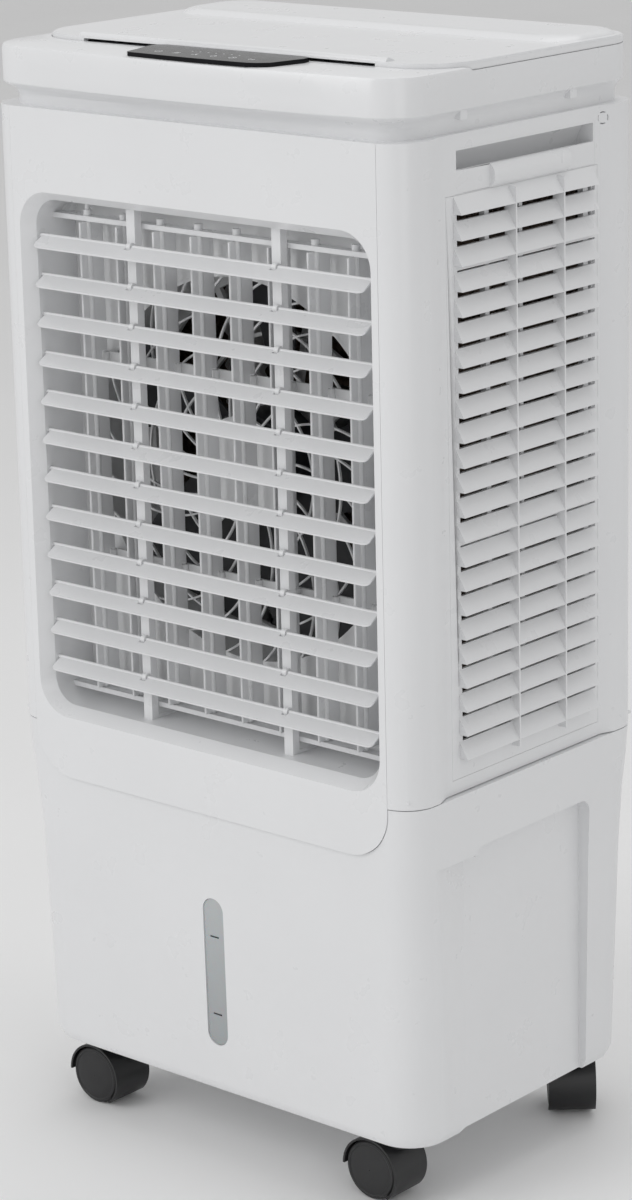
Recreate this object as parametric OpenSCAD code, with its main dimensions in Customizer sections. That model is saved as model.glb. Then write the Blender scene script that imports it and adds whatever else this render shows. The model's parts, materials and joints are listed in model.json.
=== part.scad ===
// Free-standing evaporative air cooler on four twin-wheel castors.
// Millimetres. +Z up, the front faces -Y, +X is the viewer's right.
// Origin: on the floor, under the middle of the cooler.

/* [Body] */
// Width over the corner columns
body_w = 427; // [415:1:440]
// Width over the flat side panels
side_w = 417; // [410:1:420]
// Front face of the housing (distance in front of the origin)
body_front = 146; // [143:1:150]
// Rear face of the housing (distance behind the origin)
body_back = 150; // [146:1:150]
// Radius of the upright corners
corner_r = 27; // [20:1:32]
// Height of the underside of the tank above the floor
tank_base = 64; // [64:1:68]
// Height of the joint between tank and housing
seam_z = 350; // [345:1:352]
// Height of the top of the housing
body_top = 860; // [856:1:864]
// Thickness of the moulded walls
wall = 3; // [2.5:0.1:3]

/* [Cap and lid] */
// Height of the underside of the cap above the housing
neck_h = 17.5; // [15:0.5:20]
// Height of the flat deck in front of the lid
deck_z = 908; // [906:1:910]
// Height of the joint between cap and lid
lid_z = 905; // [903:1:905]
// Height of the highest edge of the lid
top_z = 915.5; // [914:0.5:918]
// How far the cap's front edge bows out in the middle
cap_bow = 6; // [2:0.5:6]

/* [Air outlet] */
// Half width of the outlet opening
out_x = 175; // [172:1:176]
// Lower edge of the outlet opening
out_z0 = 366; // [362:1:368]
// Upper edge of the outlet opening
out_z1 = 786; // [784:1:790]
// Number of horizontal blades
blade_n = 12; // [12:1:12]
// Height between neighbouring blades
blade_pitch = 32; // [31:0.5:32.5]
// Width of a blade from its rod to its front edge
blade_chord = 15; // [14:0.5:16]
// Downward slope of the blades at rest
blade_tilt = 30; // [25:1:36]
// Number of upright vanes
vane_n = 8; // [8:1:8]
// Distance between neighbouring vanes
vane_pitch = 40; // [38:0.5:41]

/* [Fan] */
// Height of the fan axis
fan_z = 578; // [574:1:580]
// Radius of the duct
duct_r = 158; // [152:1:158]
// Number of impeller blades
fan_blades = 5; // [4:1:7]

/* [Side panels] */
// Number of slanted slats on each side panel
slat_n = 23; // [20:1:23]
// Height between neighbouring slats
slat_pitch = 19.22; // [18.8:0.02:19.3]
// How far a slat stands out at its lower lip
slat_out = 8; // [6:0.5:8.5]

/* [Castors] */
// Radius of a castor wheel
wheel_r = 25; // [24:0.5:25]
// Distance of the front castor stems from the middle, across
castor_x = 154; // [145:1:160]

/* [Hidden] */
$fn = 48;

white = [0.88, 0.88, 0.87];
pale = [0.8, 0.81, 0.82];
black = [0.04, 0.04, 0.045];
dark = [0.12, 0.12, 0.13];
brown = [0.22, 0.15, 0.12];
metal = [0.6, 0.61, 0.62];

bx = body_w / 2;
sx = side_w / 2;
inner_x = sx - wall;
rod_y = -130.5;
rod_r = 1.5;
run = 0.07;
rod_top = 755.6;
rib_x = 76;
rib_w = 8;
bush_r = 3.4;
bush_h = 4.6;
box_back = -91;
vane_y = -112;
vane_front = -122;
vane_rear = -96;
vane_t = 2.2;
vane_z0 = 380.3;
vane_z1 = 767.2;
pin_y = -97.5;
pin_r = 1.2;
pivot_r = 2;
ledge_t = 4;
link_up_z = 650;
link_up_h = 8.7;
link_lo_z = 488;
link_lo_h = 5.6;
shaft_r = 4;
duct_wall = 2.5;
duct_end = -34;
panel_y0 = -90;
panel_y1 = 97;
panel_z0 = 362;
panel_z1 = 814.4;
slot_y0 = -77;
slot_y1 = 94;
hood_y0 = -81;
hood_y1 = 90;
pad_x0 = 178;
pad_x1 = 200;
pad_y0 = -86;
pad_y1 = 93;
pad_z0 = 362;
pad_z1 = 799;
grip_y0 = -79;
grip_y1 = 94;
grip_z0 = 815.2;
grip_z1 = 849;
strip_z1 = 833;
scoop_r = 20.5;
scoop_z = 829;
stem_r = 4;
stem_fit = 0.06;
trail = 16;
web_half = 4.8;
wheel_w = 14;
hood_half = 20;
axle_r = 3;
front_castor_y = -96;
rear_castor_x = 166;
rear_castor_y = 117;
hinge_y = 150.4;
hinge_z = 905.1;
hinge_x = 120;
drain_z = 92;
pump_x = 120;
pump_y = 76;
inlet_x = 158;
gland_x = -181;
gland_z = 366;
gland_r = 3.5;
screw_x = [-164, 164];
screw_z = [366, 590, 812];

// ---------- helpers ----------

// Quarter of a circle as points, from angle a0 on
function arc(cx, cy, r, a0, n) = [for (i = [0:n]) [cx + r * cos(a0 + 90 * i / n), cy + r * sin(a0 + 90 * i / n)]];

// Outline [half width, front, rear, radius, bow]: a rounded rectangle whose front edge bows out
function outline(o, n, m) =
    concat(arc(o[0] - o[3], o[2] - o[3], o[3], 0, n),
           arc(o[3] - o[0], o[2] - o[3], o[3], 90, n),
           arc(o[3] - o[0], o[1] + o[3], o[3], 180, n),
           [for (i = [1:m - 1]) let (t = 2 * i / m - 1) [(o[0] - o[3]) * t, o[1] - o[4] * (1 - t * t)]],
           arc(o[0] - o[3], o[1] + o[3], o[3], 270, n));

// Solid through a stack of outlines; each ring is [z, half width, front, rear, radius, bow]
module loft(rings, n = 10, m = 8)
{
    count = 4 * (n + 1) + m - 1;
    last = len(rings) - 1;
    points = [for (r = rings) each [for (p = outline([r[1], r[2], r[3], r[4], r[5]], n, m)) [p[0], p[1], r[0]]]];
    sides = [for (i = [0:last - 1], j = [0:count - 1])
             let (k = (j + 1) % count)
             [i * count + j, (i + 1) * count + j, (i + 1) * count + k, i * count + k]];
    floor_face = [[for (j = [0:count - 1]) j]];
    top_face = [[for (j = [0:count - 1]) last * count + count - 1 - j]];
    polyhedron(points = points, faces = concat(floor_face, sides, top_face), convexity = 6);
}

module block(x0, x1, y0, y1, z0, z1)
{
    translate([x0, y0, z0]) cube([x1 - x0, y1 - y0, z1 - z0]);
}

// Rounded rectangle between two corners, flat
module rrect(x0, y0, x1, y1, r)
{
    translate([x0 + r, y0]) square([x1 - x0 - 2 * r, y1 - y0]);
    translate([x0, y0 + r]) square([x1 - x0, y1 - y0 - 2 * r]);
    for (x = [x0 + r, x1 - r], y = [y0 + r, y1 - r])
        translate([x, y]) circle(r);
}

// Upright plate in the XZ plane between depths y0 and y1
module plate_y(y0, y1)
{
    translate([0, y1, 0]) rotate([90, 0, 0]) linear_extrude(y1 - y0) children();
}

// Upright plate in the YZ plane between x0 and x1
module plate_x(x0, x1)
{
    translate([x0, 0, 0]) rotate([90, 0, 90]) linear_extrude(x1 - x0) children();
}

module rod_x(x0, x1, y, z, r)
{
    translate([x0, y, z]) rotate([0, 90, 0]) cylinder(h = x1 - x0, r = r);
}

module rod_y(x, z, y0, y1, r)
{
    translate([x, y0, z]) rotate([-90, 0, 0]) cylinder(h = y1 - y0, r = r);
}

module rod_z(x, y, z0, z1, r)
{
    translate([x, y, z0]) cylinder(h = z1 - z0, r = r);
}

// Mirrors the right-hand piece to the left
module side(s)
{
    scale_x = s;
    mirror([scale_x < 0 ? 1 : 0, 0, 0]) children();
}

// ---------- tank ----------

tank_rings = [[tank_base, 203.6, -134.7, 137, 32, 0],
              [tank_base + 8, 207.6, -138.7, 141, 36, 0],
              [250, 210.6, -141.3, 145.5, 34, 0],
              [300, 212.3, -143, 146.2, 31, 0],
              [325, 213, -145, 148, 28, 0],
              [seam_z, 213.3, -145.8, 150, corner_r, 0]];
tank_hollow = [[tank_base + wall, 200.6, -131.7, 134, 30, 0],
               [tank_base + 8 + wall, 204.6, -135.7, 138, 34, 0],
               [250, 207.6, -138.3, 142.5, 31, 0],
               [300, 209.2, -138.6, 143, 28, 0],
               [334, 210, -138.6, 144.5, 25, 0]];
tongue_x = 205.2;
tongue_y0 = -140;
tongue_y1 = 146.7;
tongue_h = 11.5;
recess_x = 200.5;
recess_y0 = -69;
recess_y1 = 81;
recess_top = 302;

module recess_cut(s)
{
    side(s)
    {
        plate_x(recess_x, bx) rrect(recess_y0, tank_base - 30, recess_y1, recess_top, 12);
        translate([0, 0, tank_base - 1])
            linear_extrude(recess_top - tank_base - 5)
                polygon([[bx, -120], [bx, recess_y0 + 1], [recess_x, recess_y0 + 1], [recess_x, recess_y0]]);
    }
}

module tongue_plan(g)
{
    rrect(g - tongue_x, tongue_y0 + g, tongue_x - g, tongue_y1 - g, corner_r - wall - g);
}

module window_shape(grow)
{
    for (z = [116, 222])
        translate([-1, z]) circle(11 + grow);
    translate([-12 - grow, 116]) square([22 + 2 * grow, 106]);
}

module castor_places()
{
    for (p = [[-castor_x, front_castor_y], [castor_x, front_castor_y],
              [-rear_castor_x, rear_castor_y], [rear_castor_x, rear_castor_y]])
        translate([p[0], p[1], 0]) children();
}

module tank()
{
    color(white)
    difference()
    {
        union()
        {
            difference()
            {
                loft(tank_rings);
                loft(tank_hollow);
                translate([0, 0, 333]) linear_extrude(30) tongue_plan(wall);
            }
            intersection()
            {
                loft(tank_rings);
                for (s = [-1, 1])
                    side(s) block(recess_x - wall, bx, -120, recess_y1 + wall, tank_base, recess_top + wall);
            }
            // Tongue that reaches up inside the housing
            translate([0, 0, seam_z - 6])
                linear_extrude(tongue_h)
                    difference()
                    {
                        tongue_plan(0);
                        tongue_plan(wall);
                    }
            castor_places() rod_z(0, 0, tank_base, tank_base + 24, 9);
            rod_y(0, drain_z, 134, 143.2, 15.6);
        }
        for (s = [-1, 1])
            recess_cut(s);
        plate_y(-150, -120) window_shape(0);
        castor_places() rod_z(0, 0, tank_base - 1, tank_base + 20, stem_r + stem_fit);
        rod_y(0, drain_z, 130, 150, 10 + run);
        // Pocket behind the tab of the front panel
        plate_y(-160, wall + tab_gap - body_front) offset(tab_gap) front_shape();
    }
}

module level_window()
{
    color(pale)
    intersection()
    {
        translate([0, 1, 0]) loft(tank_rings);
        plate_y(-150, -135) window_shape(-0.25);
    }
}

module drain_plug()
{
    color(white)
    {
        rod_y(0, drain_z, 135, 143.6, 10);
        difference()
        {
            rod_y(0, drain_z, 143.6, 149, 13);
            block(-2, 2, 146, 150, drain_z - 9, drain_z + 9);
        }
    }
}

// ---------- housing ----------

front_x = 189;
frame_gap = 0.2;
tab_gap = 0.4;
flange_x0 = 185.4;
flange_x1 = 196;

// Plan of the housing: four corner columns that stand proud of the flat sides
module housing_plan()
{
    difference()
    {
        rrect(-bx, -body_front, bx, body_back, corner_r);
        for (s = [-1, 1])
            mirror([s < 0 ? 1 : 0, 0])
                polygon([[bx + 0.1, -112], [sx, -98], [sx, 100], [bx + 0.1, 114]]);
    }
}

module housing()
{
    color(white)
    difference()
    {
        union()
        {
            difference()
            {
                translate([0, 0, seam_z + 0.8]) linear_extrude(body_top - seam_z - 0.8) housing_plan();
                translate([0, 0, seam_z - 1])
                    linear_extrude(body_top - seam_z + 1 - wall)
                        rrect(-inner_x, wall - body_front, inner_x, body_back - wall, corner_r - wall);
            }
            // Inner frames that hold the front panel and the side panels
            for (s = [-1, 1])
                side(s)
                {
                    block(flange_x0, flange_x1, wall - body_front, 2 * wall - body_front, seam_z + 7, body_top - wall);
                    plate_x(inner_x - wall, inner_x)
                        difference()
                        {
                            translate([panel_y0 - 6, panel_z0 - 6]) square([panel_y1 - panel_y0 + 12, panel_z1 - panel_z0 + 6]);
                            translate([panel_y0 + 4, panel_z0 + 4]) square([panel_y1 - panel_y0 - 8, panel_z1 - panel_z0 - 8]);
                        }
                }
            // Floor over the tank, with a wide drain opening
            difference()
            {
                block(-inner_x, inner_x, 2 * wall - body_front, body_back - wall, seam_z + 6, seam_z + 8);
                block(-170, 170, -80, 112, seam_z, seam_z + 10);
            }
        }
        // Opening behind the front panel
        block(-front_x - frame_gap, front_x + frame_gap, -body_front - 1, wall - body_front, seam_z - 2, body_top + 1);
        block(-flange_x0, flange_x0, -body_front - 1, 2 * wall - body_front, seam_z + 12, body_top - wall);
        // Side panel and handle openings
        for (s = [-1, 1])
            side(s)
            {
                plate_x(inner_x, bx)
                    translate([panel_y0 - frame_gap, panel_z0 - frame_gap])
                        square([panel_y1 - panel_y0 + 2 * frame_gap, panel_z1 - panel_z0 + 2 * frame_gap]);
                plate_x(inner_x, bx)
                    translate([grip_y0, grip_z0]) square([grip_y1 - grip_y0, grip_z1 - grip_z0]);
                // Quartered ring of the hidden catch
                plate_x(sx - 1.2, bx + 1)
                    translate([103, 850])
                        difference()
                        {
                            circle(5);
                            circle(4);
                            rotate(45) square([12, 2.4], center = true);
                            rotate(-45) square([12, 2.4], center = true);
                        }
            }
        // Rear air inlet
        plate_y(body_back - wall - 1, body_back + 1) rrect(-inlet_x, 368, inlet_x, 810, 8);
        // Service opening under the ice tray
        block(-150, 150, -60, 96, body_top - wall - 1, body_top + 1);
        rod_y(gland_x, gland_z, body_back - wall - 1, body_back + 1, 5.5);
        for (x = screw_x, z = screw_z)
            rod_y(x, z, body_back - wall - 1, body_back + 1, 1.5);
    }
}

module cord_gland()
{
    color(dark)
    difference()
    {
        union()
        {
            rod_y(gland_x, gland_z, body_back - wall - 3, body_back, 5.5);
            rod_y(gland_x, gland_z, body_back, body_back + 4, 7);
        }
        rod_y(gland_x, gland_z, body_back - 20, body_back + 10, gland_r);
    }
}

module screws()
{
    color(metal)
    for (x = screw_x, z = screw_z)
    {
        rod_y(x, z, body_back - 5, body_back + 2, 1.5);
        difference()
        {
            rod_y(x, z, body_back + 2, body_back + 3.8, 3);
            block(x - 2, x + 2, body_back + 3, body_back + 5, z - 0.4, z + 0.4);
            block(x - 0.4, x + 0.4, body_back + 3, body_back + 5, z - 2, z + 2);
        }
    }
}

module rear_panel()
{
    color(white)
    difference()
    {
        union()
        {
            plate_y(body_back, body_back + 4)
                difference()
                {
                    rrect(-170, 358, 170, 820, 10);
                    rrect(2 - inlet_x, 372, inlet_x - 2, 806, 6);
                }
            for (z = [382:12:796])
                block(1 - inlet_x, inlet_x - 1, body_back, body_back + 4, z, z + 3);
            for (x = [-78, 0, 78])
                block(x - 2, x + 2, body_back - 8.6, body_back + 3, 371, 807);
        }
        for (x = screw_x, z = screw_z)
        {
            rod_y(x, z, body_back - 1, body_back + 5, 1.5);
            rod_y(x, z, body_back + 2, body_back + 5, 3.3);
        }
    }
}

// ---------- cap, lid, ice tray ----------

cap_rings = [[body_top, 203, -136, 146, 28, 0],
             [body_top + 5, 203, -136, 146, 28, 0],
             [body_top + 9, 203.6, -136.8, 146.3, 28, 0.5],
             [body_top + 13, 205.6, -140, 147.4, 30, 2],
             [body_top + 16, 209, -145, 148.8, 32, 4.5],
             [body_top + neck_h, 211.4, -147.4, 149.5, 34, cap_bow],
             [body_top + neck_h + 1, 212, -148, 149.8, 34, cap_bow],
             [deck_z - 3, 212, -148, 149.8, 34, cap_bow],
             [deck_z - 0.9, 211.3, -147.2, 149.4, 33.6, cap_bow],
             [deck_z, 209.6, -145.4, 148, 33, cap_bow]];
deck_back = -98.8;

module knuckle(x0, x1, r)
{
    for (s = [-1, 1])
        rod_x(s * hinge_x + x0, s * hinge_x + x1, hinge_y, hinge_z, r);
}

module cap()
{
    color(white)
    difference()
    {
        union()
        {
            difference()
            {
                loft(cap_rings);
                // Top cut down where the lid lies
                translate([0, 0, lid_z])
                    linear_extrude(10)
                    {
                        lid_plan(0.7);
                        translate([-bx - 5, -60]) square([2 * bx + 10, body_back + 70]);
                    }
                // Hollow inside of neck and cap
                translate([0, 0, body_top - 1]) linear_extrude(42) rrect(-200, -133, 200, 143, 25);
                translate([0, 0, body_top + neck_h + 3]) linear_extrude(901 - body_top - neck_h - 3) rrect(-208.6, -144, 208.6, 146, 30);
                block(-184, 184, -86, 126, 890, lid_z + 1);
            }
            // Clip tabs under the rim
            for (s = [-1, 1], y = [-73, 61])
                side(s) block(202, 210, y, y + 8, body_top + 10, body_top + neck_h + 1);
            knuckle(-18, -10.4, 3);
            knuckle(10.4, 18, 3);
            knuckle(-18, 18, pin_r);
        }
        difference()
        {
            knuckle(-10.4, 10.4, 3.4);
            knuckle(-11, 11, pin_r);
        }
    }
}

lid_front = -98.3;
lid_back = 149.6;
lid_x = 212;

// Plan of the lid, grown by g, with wide front corners
module lid_plan(g)
{
    front_r = 46;
    rear_r = 34;
    polygon(concat(arc(lid_x - rear_r, lid_back - rear_r, rear_r + g, 0, 12),
                   arc(rear_r - lid_x, lid_back - rear_r, rear_r + g, 90, 12),
                   arc(front_r - lid_x, lid_front + front_r, front_r + g, 180, 16),
                   arc(lid_x - front_r, lid_front + front_r, front_r + g, 270, 16)));
}

// One step of the rounded slab: height above the joint, height of the step, growth of the plan
module slab_step(z, h, g)
{
    translate([0, 0, lid_z + z]) linear_extrude(h) lid_plan(g);
}

slab_steps = [[0.35, 0.9, -0.6], [1.2, 3.6, 0], [4.7, 0.8, -0.35], [5.4, 0.6, -1], [5.9, 0.6, -2]];
slab_top = lid_z + 6.5;
rear_rings = [[slab_top - 1, 205, 58, 143.5, 26, 0],
              [slab_top + 0.6, 204, 60, 142.6, 26, 0],
              [slab_top + 2, 202.4, 62.5, 141, 25, 0],
              [top_z - 0.7, 199.8, 65.5, 138.6, 24, 0],
              [top_z, 196, 69, 135, 22, 0]];

module lid()
{
    color(white)
    difference()
    {
        union()
        {
            difference()
            {
                union()
                {
                    for (t = slab_steps)
                        slab_step(t[0], t[1], t[2]);
                    loft(rear_rings);
                    // Rolled front lip
                    hull()
                    {
                        rod_x(-158, 158, lid_front + 6.5, slab_top - 0.4, 3.2);
                        block(-158, 158, lid_front + 6, lid_front + 14, slab_top - 2, slab_top - 0.2);
                    }
                }
                // Hollow underside
                translate([0, 0, lid_z - 1]) linear_extrude(4.6) lid_plan(-5);
                // Finger gap under the front edge
                block(-150, 150, -100, -90, lid_z - 1, lid_z + 5.2);
                knuckle(-18.5, -10, 3.4);
                knuckle(10, 18.5, 3.4);
            }
            knuckle(-10, 10, 3);
        }
        knuckle(-19, 19, pin_r + run);
    }
}

module ice_tray()
{
    color(pale)
    difference()
    {
        union()
        {
            translate([0, 0, 872]) linear_extrude(34) rrect(-183, -85, 183, 125, 12);
            translate([0, 0, lid_z]) linear_extrude(1.4) rrect(-188, -89.5, 188, 130, 14);
        }
        translate([0, 0, 874]) linear_extrude(40) rrect(-181, -83, 181, 123, 10);
    }
}

panel_mid = 14;

module control_panel()
{
    color(black)
    translate([panel_mid, 0, deck_z])
        linear_extrude(3.4)
            polygon([[-66, -150.5], [-30, -152], [0, -152.6], [30, -152.4], [56, -151.6], [65, -149], [72, -143],
                     [79, -112], [77, -104], [70, -101], [-70, -101], [-77, -104], [-79, -112], [-69, -148]]);
}

module control_box()
{
    color(dark)
    difference()
    {
        block(-52, 80, -140, -100, 884, deck_z - 7);
        block(-50, 78, -138, -102, 886, deck_z);
    }
}

// ---------- air outlet ----------

module outlet_shape(g)
{
    rrect(-out_x - g, out_z0 - g, out_x + g, out_z1 + g, 22 + g);
}

module front_shape()
{
    difference()
    {
        rrect(-front_x, 306, front_x, body_top + 50, 40);
        translate([-250, body_top]) square([500, 100]);
    }
}

module rib(x)
{
    block(x - rib_w, x + 1, -126, -124, out_z0 - 1, out_z1 + 1);
    block(x - 0.8, x + 1, -126, -118.4, out_z0 - 1, out_z1 + 1);
    block(x - 0.8, x + 1, -122, box_back, out_z0 - 1, out_z0 + 3);
    block(x - 0.8, x + 1, -122, box_back, out_z1 - 3, out_z1 + 1);
    for (k = [0:blade_n - 1])
    {
        rod_x(x - 2, x + 2.2, rod_y, rod_top - k * blade_pitch, 3.3);
        block(x - 1.4, x + 1.6, rod_y + 2, -125, rod_top - k * blade_pitch - 1.6, rod_top - k * blade_pitch + 1.6);
    }
}

module front_frame()
{
    color(white)
    difference()
    {
        union()
        {
            difference()
            {
                union()
                {
                    plate_y(-body_front, wall - body_front) front_shape();
                    // Sloping surround and the tunnel behind it
                    hull()
                    {
                        plate_y(wall - 0.5 - body_front, wall - body_front) outlet_shape(9);
                        plate_y(-136, -135) outlet_shape(2.5);
                    }
                    plate_y(-136, box_back) outlet_shape(2.5);
                }
                hull()
                {
                    plate_y(-body_front - 1, -body_front) outlet_shape(7.5);
                    plate_y(-135.1, -135) outlet_shape(0);
                }
                plate_y(-136, box_back + 1) outlet_shape(0);
            }
            rib(rib_x);
            rib(-rib_x);
            // Ledges that carry the vane pivots
            block(-out_x - 1, out_x + 1, vane_y - 5, vane_y + 5, vane_z1 + 0.8, vane_z1 + 0.8 + ledge_t);
            block(-out_x - 1, out_x + 1, vane_y - 5, vane_y + 5, vane_z0 - 0.8 - ledge_t, vane_z0 - 0.8);
            for (k = [0:vane_n - 1])
                rod_z(vane_x(k), vane_y, vane_z1 + 0.8, vane_z1 + 0.8 + ledge_t + bush_h, bush_r);
        }
        for (k = [0:blade_n - 1])
            rod_x(-out_x - 5, out_x + 5, rod_y, rod_top - k * blade_pitch, rod_r + run);
        for (k = [0:vane_n - 1])
            rod_z(vane_x(k), vane_y, vane_z0 - 8, vane_z1 + 8, pivot_r + run);
        rod_z(vane_x(0), vane_y, vane_z1, out_z1 + 10, pivot_r + run);
    }
}

function vane_x(k) = (k - (vane_n - 1) / 2) * vane_pitch;

module blade(k)
{
    z = rod_top - k * blade_pitch;
    color(white)
    {
        rod_x(-out_x - 1.9, out_x + 1.9, rod_y, z, rod_r);
        translate([0, rod_y, z])
            rotate([blade_tilt, 0, 0])
                difference()
                {
                    union()
                    {
                        translate([0, 0, -0.75])
                            linear_extrude(1.5)
                                difference()
                                {
                                    rrect(-172, -blade_chord, 172, blade_chord, 4);
                                    translate([-200, 0]) square([400, 40]);
                                }
                        translate([-167, -blade_chord, -1.2]) cube([334, 1.8, 1.95]);
                    }
                    for (s = [-1, 1])
                        translate([s * rib_x - 2.8, -5, -3]) cube([5.8, 8, 6]);
                }
    }
}

module vane(k)
{
    x = vane_x(k);
    color(white)
    {
        difference()
        {
            union()
            {
                translate([x, 0, vane_z0])
                    linear_extrude(vane_z1 - vane_z0)
                    {
                        translate([-vane_t / 2, vane_front + vane_t / 2]) square([vane_t, vane_rear - vane_front - vane_t]);
                        translate([0, vane_front + vane_t / 2]) circle(vane_t / 2);
                        translate([0, vane_rear - vane_t / 2]) circle(vane_t / 2);
                    }
                rod_z(x, vane_y, vane_z0, vane_z1, 2.8);
            }
            block(x - 5, x + 5, -102.5, -90, link_up_z - 1.5, link_up_z + link_up_h + 1.5);
            block(x - 5, x + 5, -102.5, -90, link_lo_z - 1.5, link_lo_z + link_lo_h + 1.5);
        }
        rod_z(x, vane_y, vane_z0 - 4.6, vane_z0 + 1, pivot_r);
        rod_z(x, vane_y, vane_z1 - 1, k == 0 ? out_z1 + 13 : vane_z1 + 4.6, pivot_r);
        rod_z(x, pin_y, link_up_z - 2, link_up_z + link_up_h + 2, pin_r);
        rod_z(x, pin_y, link_lo_z - 2, link_lo_z + link_lo_h + 2, pin_r);
    }
}

module link(z, h)
{
    color(white)
    difference()
    {
        union()
        {
            block(vane_x(0) - 6, vane_x(vane_n - 1) + 6, -95.6, -93.4, z, z + h);
            for (k = [0:vane_n - 1])
                rod_z(vane_x(k), pin_y, z, z + h, 2.9);
        }
        for (k = [0:vane_n - 1])
            rod_z(vane_x(k), pin_y, z - 1, z + h + 1, pin_r + run);
    }
}

module link_upper()
{
    link(link_up_z, link_up_h);
}

module link_lower()
{
    link(link_lo_z, link_lo_h);
}

module swing_motor()
{
    color(metal)
    difference()
    {
        union()
        {
            rod_z(vane_x(0), vane_y, out_z1 + 2.5, out_z1 + 20, 14);
            block(vane_x(0) - 20, vane_x(0) + 20, vane_y - 4, vane_y + 4, out_z1 + 2.5, out_z1 + 4.5);
        }
        rod_z(vane_x(0), vane_y, out_z1, out_z1 + 15, pivot_r + run);
    }
}

// ---------- fan ----------

module fan_axis()
{
    translate([0, 0, fan_z]) rotate([-90, 0, 0]) children();
}

module ring(r0, r1, y0, y1)
{
    difference()
    {
        rod_y(0, fan_z, y0, y1, r1, $fn = 96);
        rod_y(0, fan_z, y0 - 1, y1 + 1, r0, $fn = 96);
    }
}

module fan_shroud()
{
    color(white)
    {
        difference()
        {
            plate_y(box_back, box_back + 2.5) rrect(-186, 358, 186, 796, 20);
            rod_y(0, fan_z, box_back - 1, box_back + 4, duct_r, $fn = 96);
        }
        ring(duct_r, duct_r + duct_wall, box_back + 1, duct_end);
    }
}

guard_hub = 44;
guard_spokes = 24;
spoke_curve = 96;

module fan_guard()
{
    color(white)
    {
        rod_y(0, fan_z, box_back, box_back + 2.5, guard_hub);
        ring(duct_r - 3, duct_r, box_back, box_back + 2.5);
        for (r = [72, 100, 128])
            ring(r, r + 1.6, box_back + 0.5, box_back + 2.5);
        intersection()
        {
            ring(guard_hub - 1, duct_r - 1, box_back + 0.5, box_back + 2.5);
            translate([0, 0, fan_z])
                for (i = [0:guard_spokes - 1])
                    rotate([0, i * 360 / guard_spokes, 0])
                        intersection()
                        {
                            translate([spoke_curve, 0, 0])
                                difference()
                                {
                                    rod_y(0, 0, box_back, box_back + 3, spoke_curve + 0.8, $fn = 96);
                                    rod_y(0, 0, box_back - 1, box_back + 4, spoke_curve - 0.8, $fn = 96);
                                }
                            block(-5, 200, box_back, box_back + 3, 0, 200);
                        }
        }
    }
}

// One twisted fan blade: a grid of points from root to tip, front and back skin
module fan_blade()
{
    rows = 8;
    cols = 6;
    r0 = 40;
    r1 = 151;
    skin = 1.1;
    function pitch(u) = 40 - 17 * u;
    function chord(u) = 62 + 40 * u;
    function spot(u, v, t) =
        let (r = r0 + (r1 - r0) * u,
             c = chord(u) * (v - 0.5),
             sweep = 16 * u,
             ax = c * sin(pitch(u)) + 3 * cos(180 * (v - 0.5)) + t,
             a = sweep + c * cos(pitch(u)) / r * 180 / PI)
        [r * cos(a), ax, r * sin(a)];
    n = (rows + 1) * (cols + 1);
    points = [for (t = [-skin, skin], i = [0:rows], j = [0:cols]) spot(i / rows, j / cols, t)];
    function id(s, i, j) = s * n + i * (cols + 1) + j;
    front = [for (i = [0:rows - 1], j = [0:cols - 1]) each
             [[id(0, i, j), id(0, i, j + 1), id(0, i + 1, j)], [id(0, i, j + 1), id(0, i + 1, j + 1), id(0, i + 1, j)]]];
    back = [for (i = [0:rows - 1], j = [0:cols - 1]) each
            [[id(1, i, j), id(1, i + 1, j), id(1, i, j + 1)], [id(1, i, j + 1), id(1, i + 1, j), id(1, i + 1, j + 1)]]];
    edge_v = [for (i = [0:rows - 1]) each
              [[id(0, i, 0), id(0, i + 1, 0), id(1, i, 0)], [id(1, i, 0), id(0, i + 1, 0), id(1, i + 1, 0)],
               [id(0, i, cols), id(1, i, cols), id(0, i + 1, cols)], [id(1, i, cols), id(1, i + 1, cols), id(0, i + 1, cols)]]];
    edge_u = [for (j = [0:cols - 1]) each
              [[id(0, 0, j), id(1, 0, j), id(0, 0, j + 1)], [id(1, 0, j), id(1, 0, j + 1), id(0, 0, j + 1)],
               [id(0, rows, j), id(0, rows, j + 1), id(1, rows, j)], [id(1, rows, j), id(0, rows, j + 1), id(1, rows, j + 1)]]];
    polyhedron(points = points, faces = concat(front, back, edge_v, edge_u), convexity = 4);
}

fan_mid = -62;

module impeller()
{
    color(dark)
    {
        difference()
        {
            rod_y(0, fan_z, -84, -44, 46);
            rod_y(0, fan_z, -80, -43, 42);
        }
        rod_y(0, fan_z, -81, -44, 10);
        rod_y(0, fan_z, -50, -10, shaft_r);
        translate([0, fan_mid, fan_z])
            for (i = [0:fan_blades - 1])
                rotate([0, i * 360 / fan_blades, 0]) fan_blade();
    }
}

module fan_motor()
{
    color(metal)
    difference()
    {
        union()
        {
            rod_y(0, fan_z, duct_end + 4, duct_end + 70, 46);
            rod_y(0, fan_z, duct_end - 4, duct_end + 4, 14);
            rod_y(0, fan_z, duct_end + 70, duct_end + 76, 18);
        }
        rod_y(0, fan_z, duct_end - 5, duct_end + 26, shaft_r + run);
    }
}

module motor_bracket()
{
    color(white)
    {
        ring(duct_r - 10, duct_r + duct_wall, duct_end, duct_end + 4);
        ring(20, 56, duct_end, duct_end + 4);
        intersection()
        {
            ring(54, duct_r - 8, duct_end, duct_end + 4);
            translate([0, 0, fan_z])
                for (i = [0:8])
                    rotate([0, i * 40, 0]) block(0, 200, duct_end, duct_end + 4, -3, 3);
        }
        ring(100, 103, duct_end, duct_end + 4);
    }
}

// ---------- side panels, handles, pads ----------

slat_drop = 13.4;
slot_high = 9.4;
slot_low = 1.6;
slat_top = 814.2;

module slat_profile(z)
{
    polygon([[sx - 1.6, z], [sx, z], [sx + slat_out, z - slat_drop], [sx + slat_out - 1.6, z - slat_drop]]);
}

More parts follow.
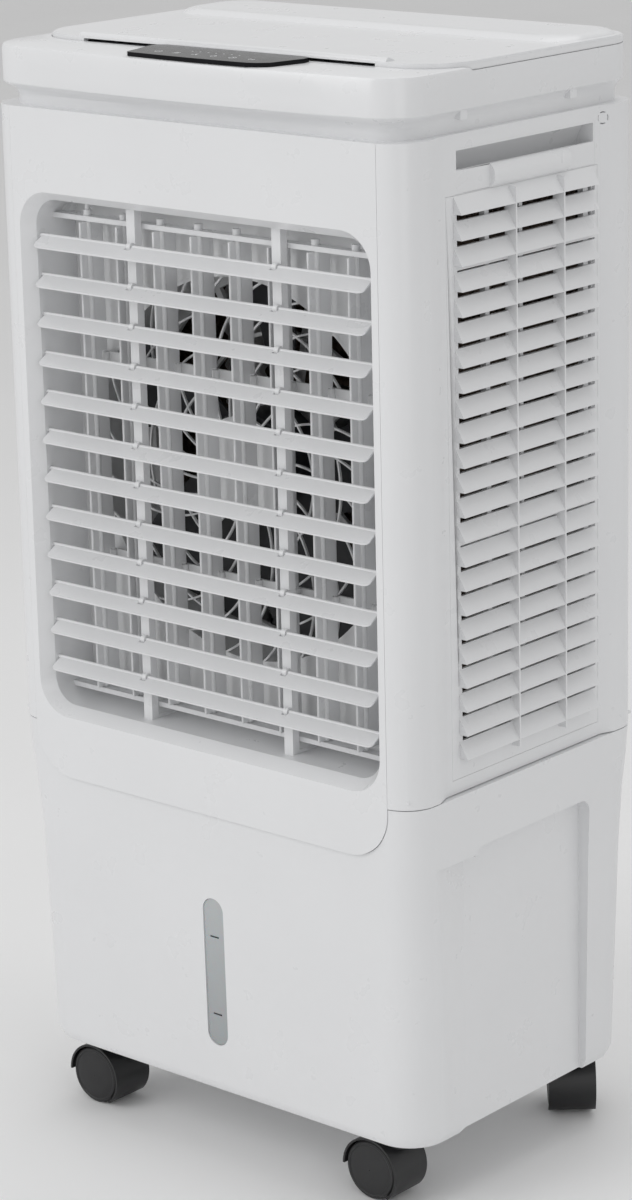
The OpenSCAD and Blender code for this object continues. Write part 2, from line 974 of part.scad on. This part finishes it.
// Extrudes an XZ profile along Y
module along_y(y0, y1)
{
    translate([0, y1, 0]) rotate([90, 0, 0]) linear_extrude(y1 - y0) children();
}

module side_panel(s)
{
    side(s)
    {
        color(white)
        {
            difference()
            {
                block(inner_x, sx, panel_y0, panel_y1, panel_z0, panel_z1);
                for (k = [1:slat_n - 1])
                    block(inner_x - 1, sx + 1, slot_y0, slot_y1, slat_top - k * slat_pitch + 0.2,
                          slat_top - k * slat_pitch + (k == 3 || k == 14 ? slot_low : slot_high));
            }
            for (k = [0:slat_n - 1])
                along_y(hood_y0, hood_y1) slat_profile(slat_top - k * slat_pitch);
            for (k = [0:slat_n - 1], y = [hood_y0, hood_y1 - 1.6])
                along_y(y, y + 1.6)
                    translate([0, slat_top - k * slat_pitch])
                        polygon([[sx - 0.5, 0], [sx, 0], [sx + slat_out, -slat_drop], [sx - 0.5, -slat_drop]]);
            for (y = [-15.8, 44.2])
                block(sx - wall, sx + slat_out, y, y + 1.6, panel_z0 + 10, panel_z1 - 1);
            for (p = [[-40, -35], [2, 6], [83, 89]])
                block(pad_x1, inner_x, p[0], p[1], panel_z0 + 4, panel_z1 - 4);
        }
    }
}

module side_panel_l()
{
    side_panel(-1);
}

module side_panel_r()
{
    side_panel(1);
}

grip_half = 47.5;
grip_mid = 10.5;

// Round-backed scoop behind the grip, grown by g
module scoop(g)
{
    translate([sx + 4, grip_y0 + 2 - g, scoop_z]) rotate([-90, 0, 0]) cylinder(h = grip_y1 - grip_y0 - 4 + 2 * g, r = scoop_r + g);
}

module handle(s)
{
    side(s)
    {
        color(white)
        {
            difference()
            {
                intersection()
                {
                    scoop(2);
                    block(sx - 40, sx, grip_y0, grip_y1, grip_z0, grip_z1);
                }
                scoop(0);
            }
            difference()
            {
                block(sx - wall, sx, grip_y0, grip_y1, grip_z0, grip_z1);
                block(sx - wall - 1, sx + 1, grip_y0 + 2, grip_y1 - 2, strip_z1, grip_z1 - 1.5);
            }
            // Rounded grip bar
            intersection()
            {
                translate([sx - 5.6, grip_mid - grip_half, (grip_z0 + strip_z1) / 2])
                    rotate([-90, 0, 0]) cylinder(h = 2 * grip_half, r = 10.6);
                block(sx - 4, sx + 6, -60, 80, grip_z0 + 0.3, strip_z1 - 0.3);
            }
        }
    }
}

module handle_l()
{
    handle(-1);
}

module handle_r()
{
    handle(1);
}

module pad_l()
{
    color(brown) block(-pad_x1, -pad_x0, pad_y0, pad_y1, pad_z0, pad_z1);
}

module pad_r()
{
    color(brown) block(pad_x0, pad_x1, pad_y0, pad_y1, pad_z0, pad_z1);
}

module pad_rear()
{
    color(brown) block(-165, 165, 119, body_back - 9, pad_z0, pad_z1);
}

module tray_plan(g)
{
    for (s = [-1, 1])
        mirror([s < 0 ? 1 : 0, 0])
        {
            translate([176 + g, pad_y0 + g]) square([23.5 - 2 * g, 122 - pad_y0 - 2 * g]);
            translate([158 + g, 96 + g]) square([30 - 2 * g, 45 - 2 * g]);
        }
    translate([-170, 117 + g]) square([340, 24 - 2 * g]);
}

module water_tray()
{
    color(pale)
    difference()
    {
        translate([0, 0, pad_z1]) linear_extrude(12) tray_plan(0);
        translate([0, 0, pad_z1 + 2]) linear_extrude(12) tray_plan(2);
        for (s = [-1, 1], y = [pad_y0 + 10:14:90])
            rod_z(s * 189, y, pad_z1 - 1, pad_z1 + 4, 1.5);
        for (x = [-154:14:154])
            rod_z(x, 129, pad_z1 - 1, pad_z1 + 4, 1.5);
        rod_x(156, 164, 104, pad_z1 + 6.5, 4);
    }
}

module pump()
{
    color(dark)
    {
        rod_z(pump_x, pump_y, tank_base + wall, tank_base + wall + 40, 24);
        rod_z(pump_x, pump_y, tank_base + wall + 40, tank_base + wall + 46, 8);
    }
}

module hose()
{
    color(pale)
    {
        rod_z(pump_x, pump_y, tank_base + wall + 46, pad_z1 + 10.5, 4);
        rod_y(pump_x, pad_z1 + 6.5, pump_y, 104, 4);
        rod_x(pump_x - 4, 160, 104, pad_z1 + 6.5, 4);
    }
}

// ---------- castors ----------

// Castor with its stem at the origin; the open side of the hood faces +X
module castor_frame(p, turn)
{
    translate([p[0], p[1], 0]) rotate([0, 0, turn]) children();
}

module castor_hood()
{
    color(black)
    {
        difference()
        {
            union()
            {
                difference()
                {
                    translate([trail, -hood_half, wheel_r]) rotate([-90, 0, 0]) cylinder(h = 2 * hood_half, r = wheel_r + 2.6);
                    // Open quarter below and in front
                    translate([trail, 30, wheel_r])
                        rotate([90, 0, 0])
                            linear_extrude(60)
                                polygon([[4, 0], [60, 0], [60, -60], [-60, -60], [-60, -26], [-12, -19], [0, -12]]);
                }
                rod_z(0, 0, 46, tank_base - 0.4, 11);
            }
            // Pockets for the two wheels and the bore for their axle
            for (y = [-25, web_half])
                translate([trail, y, wheel_r]) rotate([-90, 0, 0]) cylinder(h = 25 - web_half, r = wheel_r + 0.8);
            translate([trail, -25, wheel_r]) rotate([-90, 0, 0]) cylinder(h = 50, r = axle_r + run);
        }
        rod_z(0, 0, tank_base - 2, tank_base + 18, stem_r);
    }
}

module castor_wheels()
{
    color(dark)
    {
        for (y = [-wheel_w - web_half - 0.5, web_half + 0.5])
            translate([trail, y, wheel_r]) rotate([-90, 0, 0]) cylinder(h = wheel_w, r = wheel_r);
        translate([trail, -15, wheel_r]) rotate([-90, 0, 0]) cylinder(h = 30, r = axle_r);
    }
}

place_fl = [-castor_x, front_castor_y];
place_fr = [castor_x, front_castor_y];
place_rl = [-rear_castor_x, rear_castor_y];
place_rr = [rear_castor_x, rear_castor_y];
turn_fl = 180;
turn_fr = 180;
turn_rl = 40;
turn_rr = 131;

module castor_fl_hood()
{
    castor_frame(place_fl, turn_fl) castor_hood();
}

module castor_fl_wheels()
{
    castor_frame(place_fl, turn_fl) castor_wheels();
}

module castor_fr_hood()
{
    castor_frame(place_fr, turn_fr) castor_hood();
}

module castor_fr_wheels()
{
    castor_frame(place_fr, turn_fr) castor_wheels();
}

module castor_rl_hood()
{
    castor_frame(place_rl, turn_rl) castor_hood();
}

module castor_rl_wheels()
{
    castor_frame(place_rl, turn_rl) castor_wheels();
}

module castor_rr_hood()
{
    castor_frame(place_rr, turn_rr) castor_hood();
}

module castor_rr_wheels()
{
    castor_frame(place_rr, turn_rr) castor_wheels();
}

module blade_01() { blade(0); }
module blade_02() { blade(1); }
module blade_03() { blade(2); }
module blade_04() { blade(3); }
module blade_05() { blade(4); }
module blade_06() { blade(5); }
module blade_07() { blade(6); }
module blade_08() { blade(7); }
module blade_09() { blade(8); }
module blade_10() { blade(9); }
module blade_11() { blade(10); }
module blade_12() { blade(11); }
module vane_1() { vane(0); }
module vane_2() { vane(1); }
module vane_3() { vane(2); }
module vane_4() { vane(3); }
module vane_5() { vane(4); }
module vane_6() { vane(5); }
module vane_7() { vane(6); }
module vane_8() { vane(7); }

tank();
level_window();
drain_plug();
housing();
front_frame();
cap();
lid();
control_panel();
control_box();
ice_tray();
swing_motor();
link_upper();
link_lower();
fan_shroud();
fan_guard();
impeller();
fan_motor();
motor_bracket();
side_panel_l();
side_panel_r();
handle_l();
handle_r();
pad_l();
pad_r();
pad_rear();
rear_panel();
water_tray();
pump();
hose();
cord_gland();
screws();
blade_01();
blade_02();
blade_03();
blade_04();
blade_05();
blade_06();
blade_07();
blade_08();
blade_09();
blade_10();
blade_11();
blade_12();
vane_1();
vane_2();
vane_3();
vane_4();
vane_5();
vane_6();
vane_7();
vane_8();
castor_fl_hood();
castor_fl_wheels();
castor_fr_hood();
castor_fr_wheels();
castor_rl_hood();
castor_rl_wheels();
castor_rr_hood();
castor_rr_wheels();
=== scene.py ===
import json
import math

import bmesh
import bpy
from mathutils import Matrix, Vector


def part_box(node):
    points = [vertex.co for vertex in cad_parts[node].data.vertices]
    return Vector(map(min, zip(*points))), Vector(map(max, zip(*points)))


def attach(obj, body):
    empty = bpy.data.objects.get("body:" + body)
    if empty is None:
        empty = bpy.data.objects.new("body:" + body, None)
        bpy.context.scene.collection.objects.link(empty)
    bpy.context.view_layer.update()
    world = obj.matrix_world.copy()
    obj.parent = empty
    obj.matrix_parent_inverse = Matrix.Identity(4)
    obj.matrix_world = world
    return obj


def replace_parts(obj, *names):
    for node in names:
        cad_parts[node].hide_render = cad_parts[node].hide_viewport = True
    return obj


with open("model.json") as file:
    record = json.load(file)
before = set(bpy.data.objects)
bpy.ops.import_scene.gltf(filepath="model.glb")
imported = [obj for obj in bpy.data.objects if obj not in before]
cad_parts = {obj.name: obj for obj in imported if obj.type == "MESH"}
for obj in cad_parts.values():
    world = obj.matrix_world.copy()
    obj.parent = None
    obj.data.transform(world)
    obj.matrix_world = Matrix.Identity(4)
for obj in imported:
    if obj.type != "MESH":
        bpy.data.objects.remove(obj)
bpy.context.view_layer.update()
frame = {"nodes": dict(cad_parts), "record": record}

NODES = frame["nodes"]
MM = 0.001

# ---------------------------------------------------------------- camera

AZIMUTH, ELEVATION, ROLL = 41.086, 15.499, -1.302
EYE = Vector((1.8265, -2.0922, 1.2430))
SENSOR, LENS = 36, 105.864
SHIFT_X, SHIFT_Y = -0.00575, -0.0214


def camera():
    az, el, ro = (math.radians(a) for a in (AZIMUTH, ELEVATION, ROLL))
    right = Vector((math.cos(az), math.sin(az), 0))
    back = Vector((math.sin(az) * math.cos(el), -math.cos(az) * math.cos(el), math.sin(el)))
    up = back.cross(right)
    right2 = math.cos(ro) * right + math.sin(ro) * up
    up2 = -math.sin(ro) * right + math.cos(ro) * up
    data = bpy.data.cameras.new("camera")
    data.sensor_width = SENSOR
    data.lens = LENS
    data.shift_x = SHIFT_X
    data.shift_y = SHIFT_Y
    data.clip_end = 50
    eye = bpy.data.objects.new("camera", data)
    turn = Matrix((right2, up2, back)).transposed().to_4x4()
    eye.matrix_world = Matrix.Translation(EYE) @ turn
    bpy.context.scene.collection.objects.link(eye)
    bpy.context.scene.camera = eye


camera()

# ---------------------------------------------------------------- materials


class Maker:
    """A material with its node tree at hand."""

    def __init__(self, name):
        self.mat = bpy.data.materials.new(name)
        self.mat.use_nodes = True
        self.tree = self.mat.node_tree
        self.bsdf = self.tree.nodes["Principled BSDF"]
        self.coord = self.node("ShaderNodeTexCoord").outputs["Object"]

    def node(self, kind, **values):
        n = self.tree.nodes.new(kind)
        for key, value in values.items():
            setattr(n, key, value)
        return n

    def link(self, a, b):
        self.tree.links.new(a, b)

    def set(self, **values):
        for key, value in values.items():
            self.bsdf.inputs[key.replace("_", " ")].default_value = value

    def stretched(self, scale):
        n = self.node("ShaderNodeMapping")
        n.inputs["Scale"].default_value = scale
        self.link(self.coord, n.inputs["Vector"])
        return n.outputs["Vector"]

    def noise(self, scale, detail=3.0, rough=0.5, vector=None):
        n = self.node("ShaderNodeTexNoise")
        n.inputs["Scale"].default_value = scale
        n.inputs["Detail"].default_value = detail
        n.inputs["Roughness"].default_value = rough
        self.link(vector or self.coord, n.inputs["Vector"])
        return n.outputs["Fac"]

    def ranged(self, fac, low, high, start=0.3, end=0.7):
        n = self.node("ShaderNodeMapRange")
        n.inputs["From Min"].default_value = start
        n.inputs["From Max"].default_value = end
        n.inputs["To Min"].default_value = low
        n.inputs["To Max"].default_value = high
        self.link(fac, n.inputs["Value"])
        return n.outputs["Result"]

    def mixed(self, fac, a, b):
        n = self.node("ShaderNodeMix", data_type="RGBA")
        if isinstance(fac, float):
            n.inputs[0].default_value = fac
        else:
            self.link(fac, n.inputs[0])
        for socket, value in ((n.inputs[6], a), (n.inputs[7], b)):
            if isinstance(value, tuple):
                socket.default_value = value + (1,)
            else:
                self.link(value, socket)
        return n.outputs[2]

    def bump(self, height, strength, distance, normal=None):
        n = self.node("ShaderNodeBump")
        n.inputs["Strength"].default_value = strength
        n.inputs["Distance"].default_value = distance
        self.link(height, n.inputs["Height"])
        if normal is not None:
            self.link(normal, n.inputs["Normal"])
        return n.outputs["Normal"]

    def finish(self, color, rough, normal):
        self.link(color, self.bsdf.inputs["Base Color"])
        self.link(rough, self.bsdf.inputs["Roughness"])
        self.link(normal, self.bsdf.inputs["Normal"])
        return self.mat


def moulded(name, light, shade, rough, grain=900.0, grain_depth=0.00004, coat=0.0):
    """Injection-moulded plastic: faint flow tone, fine grain and uneven gloss."""
    m = Maker(name)
    tone = m.ranged(m.noise(9.0, 2.0), 0.0, 1.0)
    color = m.mixed(tone, shade, light)
    gloss = m.ranged(m.noise(38.0, 4.0), rough * 0.88, rough * 1.15)
    grainy = m.bump(m.noise(grain, 2.0), 0.10, grain_depth)
    wavy = m.bump(m.noise(12.0, 1.0), 0.03, 0.0006, grainy)
    m.set(Coat_Weight=coat, Coat_Roughness=0.12, IOR=1.5)
    return m.finish(color, gloss, wavy)


WHITE = moulded("white plastic", (0.775, 0.78, 0.79), (0.760, 0.765, 0.775), 0.30, coat=0.25)
WHITE_INNER = moulded("white plastic inner", (0.76, 0.765, 0.77), (0.73, 0.735, 0.74), 0.42)
DARK = moulded("dark plastic", (0.030, 0.031, 0.034), (0.022, 0.023, 0.026), 0.45, 700.0, 0.00008)
CASTOR = moulded("castor plastic", (0.016, 0.016, 0.017), (0.011, 0.011, 0.012), 0.34, 800.0, 0.00006)
TREAD = moulded("castor tread", (0.024, 0.024, 0.025), (0.016, 0.016, 0.017), 0.55, 1100.0, 0.00014)
TRAY = moulded("tray plastic", (0.60, 0.62, 0.64), (0.55, 0.57, 0.59), 0.40)
SYMBOL = moulded("panel symbols", (0.80, 0.81, 0.82), (0.70, 0.71, 0.72), 0.40)


def panel_gloss():
    m = Maker("black gloss")
    color = m.mixed(m.ranged(m.noise(60.0, 3.0), 0.0, 1.0), (0.006, 0.006, 0.007), (0.010, 0.010, 0.012))
    gloss = m.ranged(m.noise(120.0, 5.0, 0.7), 0.14, 0.22)
    m.set(Coat_Weight=0.0, IOR=1.22)
    return m.finish(color, gloss, m.bump(m.noise(30.0, 1.0), 0.04, 0.0004))


def smoked_window():
    m = Maker("smoked window")
    z = m.node("ShaderNodeSeparateXYZ")
    m.link(m.coord, z.inputs[0])
    low = m.ranged(z.outputs["Z"], 0.0, 1.0, 0.10, 0.235)
    color = m.mixed(low, (0.34, 0.36, 0.37), (0.47, 0.49, 0.50))
    gloss = m.ranged(m.noise(90.0, 4.0), 0.16, 0.26)
    m.set(Coat_Weight=0.4, Coat_Roughness=0.06, Subsurface_Weight=0.25, Subsurface_Scale=0.004)
    return m.finish(color, gloss, m.bump(m.noise(300.0, 2.0), 0.12, 0.0002))


def wet_pad():
    m = Maker("cellulose pad")
    fibre = m.noise(1.0, 6.0, 0.7, m.stretched((900.0, 900.0, 260.0)))
    blotch = m.ranged(m.noise(28.0, 3.0), 0.0, 1.0)
    color = m.mixed(blotch, (0.070, 0.048, 0.036), (0.125, 0.090, 0.068))
    color = m.mixed(m.ranged(fibre, 0.0, 0.5), color, (0.20, 0.155, 0.12))
    m.set(Sheen_Weight=0.15)
    return m.finish(color, m.ranged(fibre, 0.80, 0.97), m.bump(fibre, 0.7, 0.0004))


def metal(name, light, shade, rough):
    m = Maker(name)
    brushed = m.noise(1.0, 5.0, 0.6, m.stretched((40.0, 1500.0, 1500.0)))
    color = m.mixed(m.ranged(brushed, 0.0, 1.0), shade, light)
    m.set(Metallic=1.0)
    return m.finish(color, m.ranged(brushed, rough * 0.8, rough * 1.3), m.bump(brushed, 0.25, 0.00006))


def soft_hose():
    m = Maker("hose rubber")
    z = m.noise(140.0, 3.0)
    color = m.mixed(m.ranged(z, 0.0, 1.0), (0.38, 0.40, 0.41), (0.50, 0.52, 0.53))
    return m.finish(color, m.ranged(z, 0.35, 0.5), m.bump(z, 0.3, 0.0003))


PANEL = panel_gloss()
WINDOW = smoked_window()
PAD = wet_pad()
STEEL = metal("plated steel", (0.62, 0.62, 0.63), (0.42, 0.42, 0.43), 0.32)
MOTOR = metal("motor shell", (0.34, 0.35, 0.36), (0.22, 0.23, 0.24), 0.5)
HOSE = soft_hose()

SLOTS = {"white_plastic": WHITE, "window": WINDOW, "panel_gloss": PANEL, "motor_grey": MOTOR,
         "dark_plastic": DARK, "pad": PAD, "tray": TRAY, "hose": HOSE, "steel": STEEL,
         "castor_black": CASTOR, "castor_tread": TREAD}
INNER = ("fan_shroud", "motor_bracket", "fan_guard", "link_upper", "link_lower")


WELD_GAP = 0.00002
SMOOTH_ANGLE = 32.0


def rounded(obj, width, angle=38.0, segments=2):
    """Softens a CAD part's sharp edges, as a mould does, without touching its mesh."""
    obj.data.polygons.foreach_set("use_smooth", [True] * len(obj.data.polygons))
    if obj.data.has_custom_normals:
        bpy.context.view_layer.objects.active = obj
        obj.select_set(True)
        bpy.ops.mesh.customdata_custom_splitnormals_clear()
        obj.select_set(False)
    weld = obj.modifiers.new("weld", "WELD")
    weld.merge_threshold = WELD_GAP
    if width:
        bevel = obj.modifiers.new("bevel", "BEVEL")
        bevel.width = width
        bevel.segments = segments
        bevel.limit_method = "ANGLE"
        bevel.angle_limit = math.radians(angle)
        bevel.harden_normals = True
        bevel.use_clamp_overlap = True
        bevel.miter_outer = "MITER_ARC"
    smooth_by_angle(obj, SMOOTH_ANGLE)
    if width:
        even = obj.modifiers.new("even", "WEIGHTED_NORMAL")
        even.keep_sharp = True
        even.weight = 80


def smooth_by_angle(obj, angle):
    """Marks edges sharper than the angle, after the other modifiers. All objects share one group."""
    group = bpy.data.node_groups.get("smooth by angle")
    if group is None:
        group = bpy.data.node_groups.new("smooth by angle", "GeometryNodeTree")
        group.interface.new_socket("Geometry", in_out="INPUT", socket_type="NodeSocketGeometry")
        group.interface.new_socket("Geometry", in_out="OUTPUT", socket_type="NodeSocketGeometry")
        start = group.nodes.new("NodeGroupInput")
        end = group.nodes.new("NodeGroupOutput")
        flat = group.nodes.new("GeometryNodeInputMeshEdgeAngle")
        wide = group.nodes.new("ShaderNodeMath")
        wide.operation = "LESS_THAN"
        wide.inputs[1].default_value = math.radians(angle)
        shade = group.nodes.new("GeometryNodeSetShadeSmooth")
        shade.domain = "EDGE"
        group.links.new(flat.outputs["Unsigned Angle"], wide.inputs[0])
        group.links.new(wide.outputs[0], shade.inputs["Shade Smooth"])
        group.links.new(start.outputs[0], shade.inputs["Geometry"])
        group.links.new(shade.outputs["Geometry"], end.inputs[0])
    mod = obj.modifiers.new("smooth by angle", "NODES")
    mod.node_group = group


EDGE = {"tank": 0.0009, "housing": 0.0009, "front_frame": 0.0007, "cap": 0.0, "lid": 0.0008,
        "side_panel_l": 0.00035, "side_panel_r": 0.00035, "handle_l": 0.0007, "handle_r": 0.0007,
        "fan_shroud": 0.0006, "fan_guard": 0.0003, "motor_bracket": 0.0005, "rear_panel": 0.0004}

for entry in frame["record"]["subparts"]:
    node = entry["node"]
    obj = NODES[node]
    obj.data.materials.clear()
    obj.data.materials.append(WHITE_INNER if node in INNER else SLOTS[entry["material_slot"]])
    rounded(obj, EDGE.get(node, 0.0003))

# ---------------------------------------------------------------- pieces


def piece(name, bm, material, body, edge=0.0):
    """A finished mesh piece that rides on a CAD body."""
    bmesh.ops.recalc_face_normals(bm, faces=bm.faces)
    mesh = bpy.data.meshes.new(name)
    bm.to_mesh(mesh)
    bm.free()
    mesh.polygons.foreach_set("use_smooth", [True] * len(mesh.polygons))
    mesh.materials.append(material)
    obj = bpy.data.objects.new(name, mesh)
    bpy.context.scene.collection.objects.link(obj)
    if edge:
        bevel = obj.modifiers.new("bevel", "BEVEL")
        bevel.width = edge
        bevel.segments = 2
        bevel.limit_method = "ANGLE"
        bevel.harden_normals = True
    smooth_by_angle(obj, SMOOTH_ANGLE)
    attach(obj, body)
    return obj


def lathe(bm, profile, centre, axis, steps=56):
    """Adds a closed ring of the (along, radius) profile turned about the axis."""
    across = axis.orthogonal().normalized()
    other = axis.cross(across)
    rows = []
    for i in range(steps):
        a = 2 * math.pi * i / steps
        out = across * math.cos(a) + other * math.sin(a)
        rows.append([bm.verts.new(centre + axis * u + out * r) for u, r in profile])
    count = len(profile)
    for i in range(steps):
        one, two = rows[i], rows[(i + 1) % steps]
        for j in range(count):
            k = (j + 1) % count
            bm.faces.new((one[j], one[k], two[k], two[j]))


def castor_wheels(corner):
    """Twin wheels with a rounded tread and a domed outer cap in a groove, on one axle."""
    node = "castor_%s_wheels" % corner
    joints = frame["record"]["behaviour"]["joints"]
    joint = next(j for j in joints if j["name"] == "castor_%s_roll" % corner)
    centre = Vector(joint["pos_m"])
    axis = Vector(joint["axis"]).normalized()
    inner, outer, big = 5.3 * MM, 19.3 * MM, 25 * MM
    bm = bmesh.new()
    for s in (-1, 1):
        tread = [(inner, 0.4), (inner, 20.0), (inner + 0.4 * MM, 23.4), (inner + 1.6 * MM, 24.6),
                 (inner + 3.2 * MM, 25.0), (outer - 3.6 * MM, 25.0), (outer - 1.8 * MM, 24.5)]
        groove = [(outer - 0.7 * MM, 23.3), (outer - 0.4 * MM, 21.6), (outer - 0.9 * MM, 20.9)]
        dome = [(outer - 0.9 * MM, 20.2), (outer - 0.5 * MM, 19.2), (outer - 0.2 * MM, 14.0),
                (outer, 7.0), (outer, 0.4)]
        wheel = tread + groove + dome
        lathe(bm, [(s * u, r * big / 25.0) for u, r in wheel], centre, axis)
    reach, core, thick = 15 * MM, 0.4 * MM, 3 * MM
    axle = [(-reach, core), (reach, core), (reach, thick), (-reach, thick)]
    lathe(bm, axle, centre, axis, 24)
    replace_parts(piece(node.replace("wheels", "tread"), bm, TREAD, node), node)


for corner in ("fl", "fr", "rl", "rr"):
    castor_wheels(corner)


def corrugated(name, node, across, deep):
    """Cellulose pad: wavy sheets side by side, with flutes that slope up and down in turn."""
    low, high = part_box(node)
    pitch, swing, wave = 6.8 * MM, 2.9 * MM, 15.5 * MM
    span = high[across] - low[across]
    count = int((span - 2 * swing - 1.4 * MM) / pitch) + 1
    first = low[across] + (span - (count - 1) * pitch) / 2
    steps_per_wave = 7
    rows = int((high[2] - low[2]) / wave * steps_per_wave)
    cols = 3
    inset, paper = 0.4 * MM, 0.5 * MM
    bm = bmesh.new()
    for n in range(count):
        slope = 1 if n % 2 else -1
        grid = []
        for i in range(rows + 1):
            z = low[2] + (high[2] - low[2]) * i / rows
            line = []
            for j in range(cols + 1):
                d = low[deep] + inset + (high[deep] - low[deep] - 2 * inset) * j / cols
                phase = 2 * math.pi * (z + slope * (d - low[deep])) / wave
                spot = [0.0, 0.0, z]
                spot[across] = first + n * pitch + swing * math.sin(phase)
                spot[deep] = d
                line.append(bm.verts.new(spot))
            grid.append(line)
        for i in range(rows):
            for j in range(cols):
                bm.faces.new((grid[i][j], grid[i][j + 1], grid[i + 1][j + 1], grid[i + 1][j]))
    obj = piece(name, bm, PAD, "cooler")
    thick = obj.modifiers.new("paper", "SOLIDIFY")
    thick.thickness = paper
    thick.offset = 0
    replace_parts(obj, node)


corrugated("cellulose_left", "pad_l", 1, 0)
corrugated("cellulose_right", "pad_r", 1, 0)
corrugated("cellulose_rear", "pad_rear", 0, 1)


def slab(bm, outline, z0, z1):
    """Upright prism over a plan outline."""
    low = [bm.verts.new((x, y, z0)) for x, y in outline]
    high = [bm.verts.new((x, y, z1)) for x, y in outline]
    bm.faces.new(low[::-1])
    bm.faces.new(high)
    for i in range(len(outline)):
        k = (i + 1) % len(outline)
        bm.faces.new((low[i], low[k], high[k], high[i]))


def bar(x, y, length, wide, turn=0.0):
    """Plan of a straight bar."""
    c, s = math.cos(turn), math.sin(turn)
    u, v = length / 2, wide / 2
    return [(x + a * c - b * s, y + a * s + b * c) for a, b in ((-u, -v), (u, -v), (u, v), (-u, v))]


def panel_marks():
    """Plain touch marks: rings, bars and dots with no wording."""
    low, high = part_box("control_panel")
    top = high[2]
    z0, z1 = top - 0.1 * MM, top + 0.12 * MM
    mid, line = (low[0] + high[0]) / 2, low[1] + 17 * MM
    stroke, spacing = 0.6 * MM, 19 * MM
    bm = bmesh.new()

    def ring(x, y, r, wide, start=0, turns=24, whole=24):
        for i in range(start, start + turns):
            a, b = (2 * math.pi * k / whole for k in (i, i + 1))
            corners = ((a, r), (b, r), (b, r + wide), (a, r + wide))
            slab(bm, [(x + math.cos(t) * q, y + math.sin(t) * q) for t, q in corners], z0, z1)

    for k in range(6):
        x = mid + (k - 2.5) * spacing
        if k == 0:
            ring(x, line, 2.6 * MM, stroke, 8, 20)
            slab(bm, bar(x, line + 2.4 * MM, stroke, 3 * MM), z0, z1)
        elif k == 1:
            for i in range(3):
                slab(bm, bar(x, line + (i - 1) * 2 * MM, (6 - i) * MM, stroke), z0, z1)
        elif k == 2:
            for i in range(3):
                a = math.radians(90 + 120 * i)
                petal = bar(x + 1.8 * MM * math.cos(a), line + 1.8 * MM * math.sin(a), 3 * MM, 1.1 * MM, a)
                slab(bm, petal, z0, z1)
        elif k == 3:
            ring(x, line - stroke, 1.8 * MM, stroke, 9, 30, 36)
            for s in (-1, 1):
                lean = math.radians(90 + s * 30)
                slab(bm, bar(x + s * 0.9 * MM, line + 2 * MM, 3 * MM, stroke, lean), z0, z1)
        elif k == 4:
            ring(x, line, 2.6 * MM, stroke)
            slab(bm, bar(x, line + 0.9 * MM, 0.5 * MM, 1.9 * MM), z0, z1)
            slab(bm, bar(x + 0.8 * MM, line, 1.7 * MM, 0.5 * MM), z0, z1)
        else:
            slab(bm, bar(x, line, 6 * MM, stroke), z0, z1)
            for s in (-1, 1):
                for up in (1, -1):
                    lean = -s * up * math.radians(45)
                    head = bar(x + s * 2.3 * MM, line + up * 0.8 * MM, 2.2 * MM, stroke, lean)
                    slab(bm, head, z0, z1)
    for k in range(7):
        dot = bar(mid + (k - 3) * 8 * MM, line + 13 * MM, 1.2 * MM, 1.2 * MM)
        slab(bm, dot, z0, z1)
    piece("panel_marks", bm, SYMBOL, "cooler")


def level_marks():
    """Two level bars printed on the window."""
    low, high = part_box("level_window")
    lean = 0.0146
    bm = bmesh.new()
    for part in (0.74, 0.21):
        z = low[2] + (high[2] - low[2]) * part
        face = low[1] + (high[2] - z) * lean
        xs = (-5.5 * MM, 3.5 * MM)
        ys = (face - 0.15 * MM, face + 0.5 * MM)
        zs = (z - 0.6 * MM, z + 0.6 * MM)
        v = [bm.verts.new((x, y, h)) for x in xs for y in ys for h in zs]
        for f in ((0, 1, 3, 2), (4, 6, 7, 5), (0, 4, 5, 1), (2, 3, 7, 6), (0, 2, 6, 4), (1, 5, 7, 3)):
            bm.faces.new([v[i] for i in f])
    piece("level_marks", bm, DARK, "cooler")


panel_marks()
level_marks()

# ---------------------------------------------------------------- studio


def stage():
    bpy.ops.mesh.primitive_plane_add(size=1)
    floor = bpy.context.object
    floor.name = "floor"
    floor.scale = (16, 16, 1)
    bpy.ops.object.transform_apply(scale=True)
    m = Maker("floor paper")
    tone = m.ranged(m.noise(2.0, 3.0), 0.0, 1.0)
    color = m.mixed(tone, (0.86, 0.86, 0.86), (0.88, 0.88, 0.88))
    gloss = m.ranged(m.noise(90.0, 4.0), 0.6, 0.8)
    fibre = m.bump(m.noise(500.0, 3.0), 0.1, 0.0002)
    floor.data.materials.append(m.finish(color, gloss, fibre))


def softbox(name, place, target, size, power):
    data = bpy.data.lights.new(name, "AREA")
    data.shape = "RECTANGLE"
    data.size, data.size_y = size
    data.energy = power
    lamp = bpy.data.objects.new(name, data)
    lamp.location = place
    lamp.rotation_euler = (Vector(place) - Vector(target)).to_track_quat("Z", "Y").to_euler()
    bpy.context.scene.collection.objects.link(lamp)


def studio():
    world = bpy.data.worlds.new("studio")
    world.use_nodes = True
    world.node_tree.nodes["Background"].inputs["Color"].default_value = (1.0, 1.0, 1.0, 1)
    world.node_tree.nodes["Background"].inputs["Strength"].default_value = 0.60
    bpy.context.scene.world = world
    bpy.context.scene.view_settings.view_transform = "Standard"
    middle = (0, 0, 0.5)
    softbox("key", (-1.3, -2.9, 2.3), middle, (2.2, 2.2), 34)
    softbox("fill", (2.6, -1.4, 1.2), middle, (1.2, 2.0), 7)
    softbox("top", (0.2, 0.6, 3.0), middle, (2.4, 2.4), 16)


stage()
studio()
